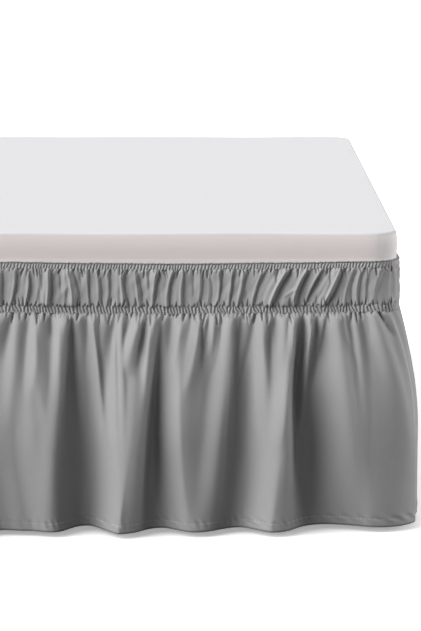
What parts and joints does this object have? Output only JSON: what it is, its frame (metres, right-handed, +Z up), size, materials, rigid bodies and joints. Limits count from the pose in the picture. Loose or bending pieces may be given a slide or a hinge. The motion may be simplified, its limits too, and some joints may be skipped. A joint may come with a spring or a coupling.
{
  "type": "bed skirt on a mattress and bed base",
  "caption": "Wrap-around bed skirt with a gathered header between elastic casings and a gathered full drop, on a plain mattress and bed base with legs.",
  "frame": {"origin": "on the floor under the middle of the bed", "axes": "+Z up, +Y from the foot of the bed to its head, +X to the right as seen from the foot"},
  "size_m": [1.6859, 2.2523, 0.578],
  "materials": {
    "skirt_cloth": "brushed microfibre with a soft sheen, mid grey",
    "mattress_cover": "smooth white fitted sheet",
    "base_ticking": "plain woven ticking",
    "leg_wood": "stained wood"
  },
  "bodies": {
    "root": {"drop_foot": "skirt_cloth", "drop_right": "skirt_cloth", "drop_head": "skirt_cloth", "drop_left": "skirt_cloth", "header_foot": "skirt_cloth", "header_right": "skirt_cloth", "header_head": "skirt_cloth", "header_left": "skirt_cloth", "casing_upper": "skirt_cloth", "casing_lower": "skirt_cloth", "mattress": "mattress_cover", "bed_base": "base_ticking", "leg_foot_left": "leg_wood", "leg_foot_right": "leg_wood", "leg_head_left": "leg_wood", "leg_head_right": "leg_wood"}
  },
  "joints": []
}
